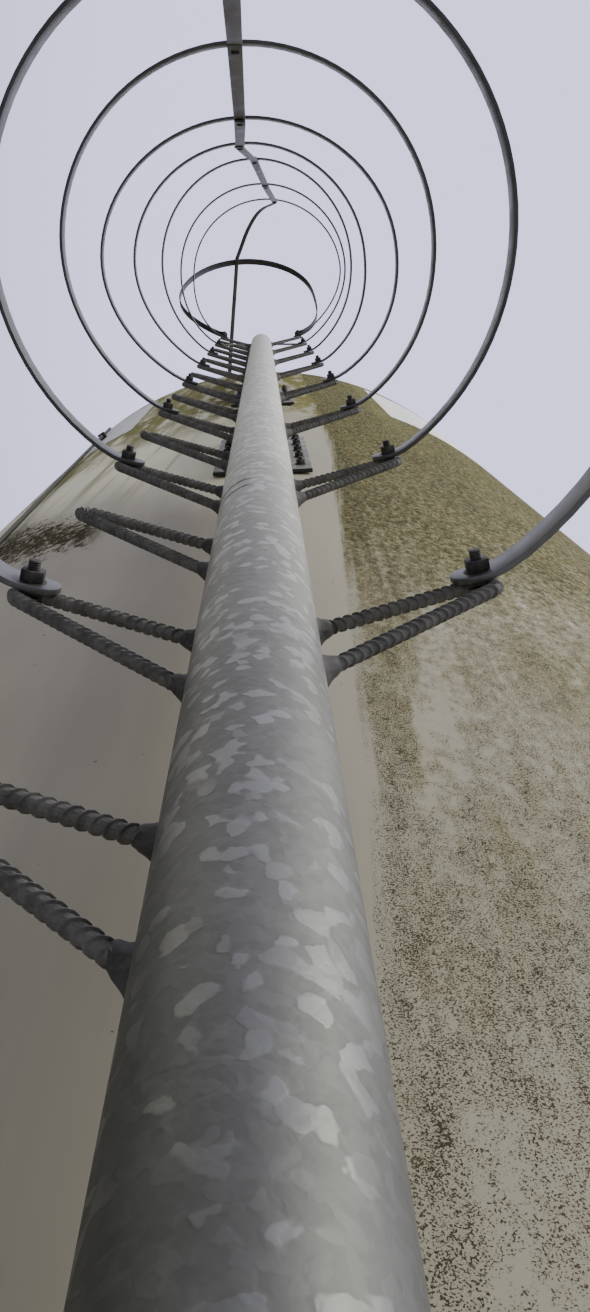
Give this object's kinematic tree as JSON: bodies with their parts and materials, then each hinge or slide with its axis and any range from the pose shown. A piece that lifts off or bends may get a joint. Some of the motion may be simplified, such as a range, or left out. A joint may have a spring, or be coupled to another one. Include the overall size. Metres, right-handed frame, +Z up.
{
  "type": "grain silo",
  "caption": "Round hopper-bottomed grain silo on pipe legs, with a cone roof, a lidded hatch and a climbing pole with steps inside a hoop cage.",
  "frame": {"origin": "centre of the bounding box's footprint, on the ground under the foot plates", "axes": "+Z up, ladder and cage on the -Y side, +X to the right of a person who faces the ladder"},
  "size_m": [2.82, 3.368, 7.2195],
  "materials": {
    "shell": "matte",
    "zinc": "matte",
    "hoop_steel": "satin",
    "dark_rod": "matte"
  },
  "bodies": {
    "root": {"wall_front": "shell", "wall_front_right": "shell", "wall_back_right": "shell", "wall_back": "shell", "wall_back_left": "shell", "wall_front_left": "shell", "roof_cone": "shell", "hatch_collar": "shell", "hatch_lid": "shell", "hopper_cone": "shell", "outlet_collar": "zinc", "gate_frame": "zinc", "slide_gate": "zinc", "foot_plate_front": "zinc", "bracket_front_lower": "zinc", "bracket_front_upper": "zinc", "foot_plate_right": "zinc", "bracket_right_lower": "zinc", "bracket_right_upper": "zinc", "leg_right": "zinc", "foot_plate_back": "zinc", "bracket_back_lower": "zinc", "bracket_back_upper": "zinc", "leg_back": "zinc", "foot_plate_left": "zinc", "bracket_left_lower": "zinc", "bracket_left_upper": "zinc", "leg_left": "zinc", "step_pole_lower": "zinc", "step_pole_middle": "zinc", "step_pole_upper": "zinc", "cage_hoop_1": "hoop_steel", "cage_hoop_2": "hoop_steel", "cage_hoop_3": "hoop_steel", "cage_hoop_4": "hoop_steel", "cage_hoop_5": "hoop_steel", "cage_hoop_6": "hoop_steel", "cage_hoop_7": "hoop_steel", "cage_hoop_8": "hoop_steel", "cage_hoop_top": "hoop_steel", "cage_straps": "hoop_steel", "cage_top_strap": "hoop_steel", "wall_rod": "dark_rod", "rod_guide_lower": "zinc", "rod_guide_upper": "zinc"}
  },
  "joints": []
}
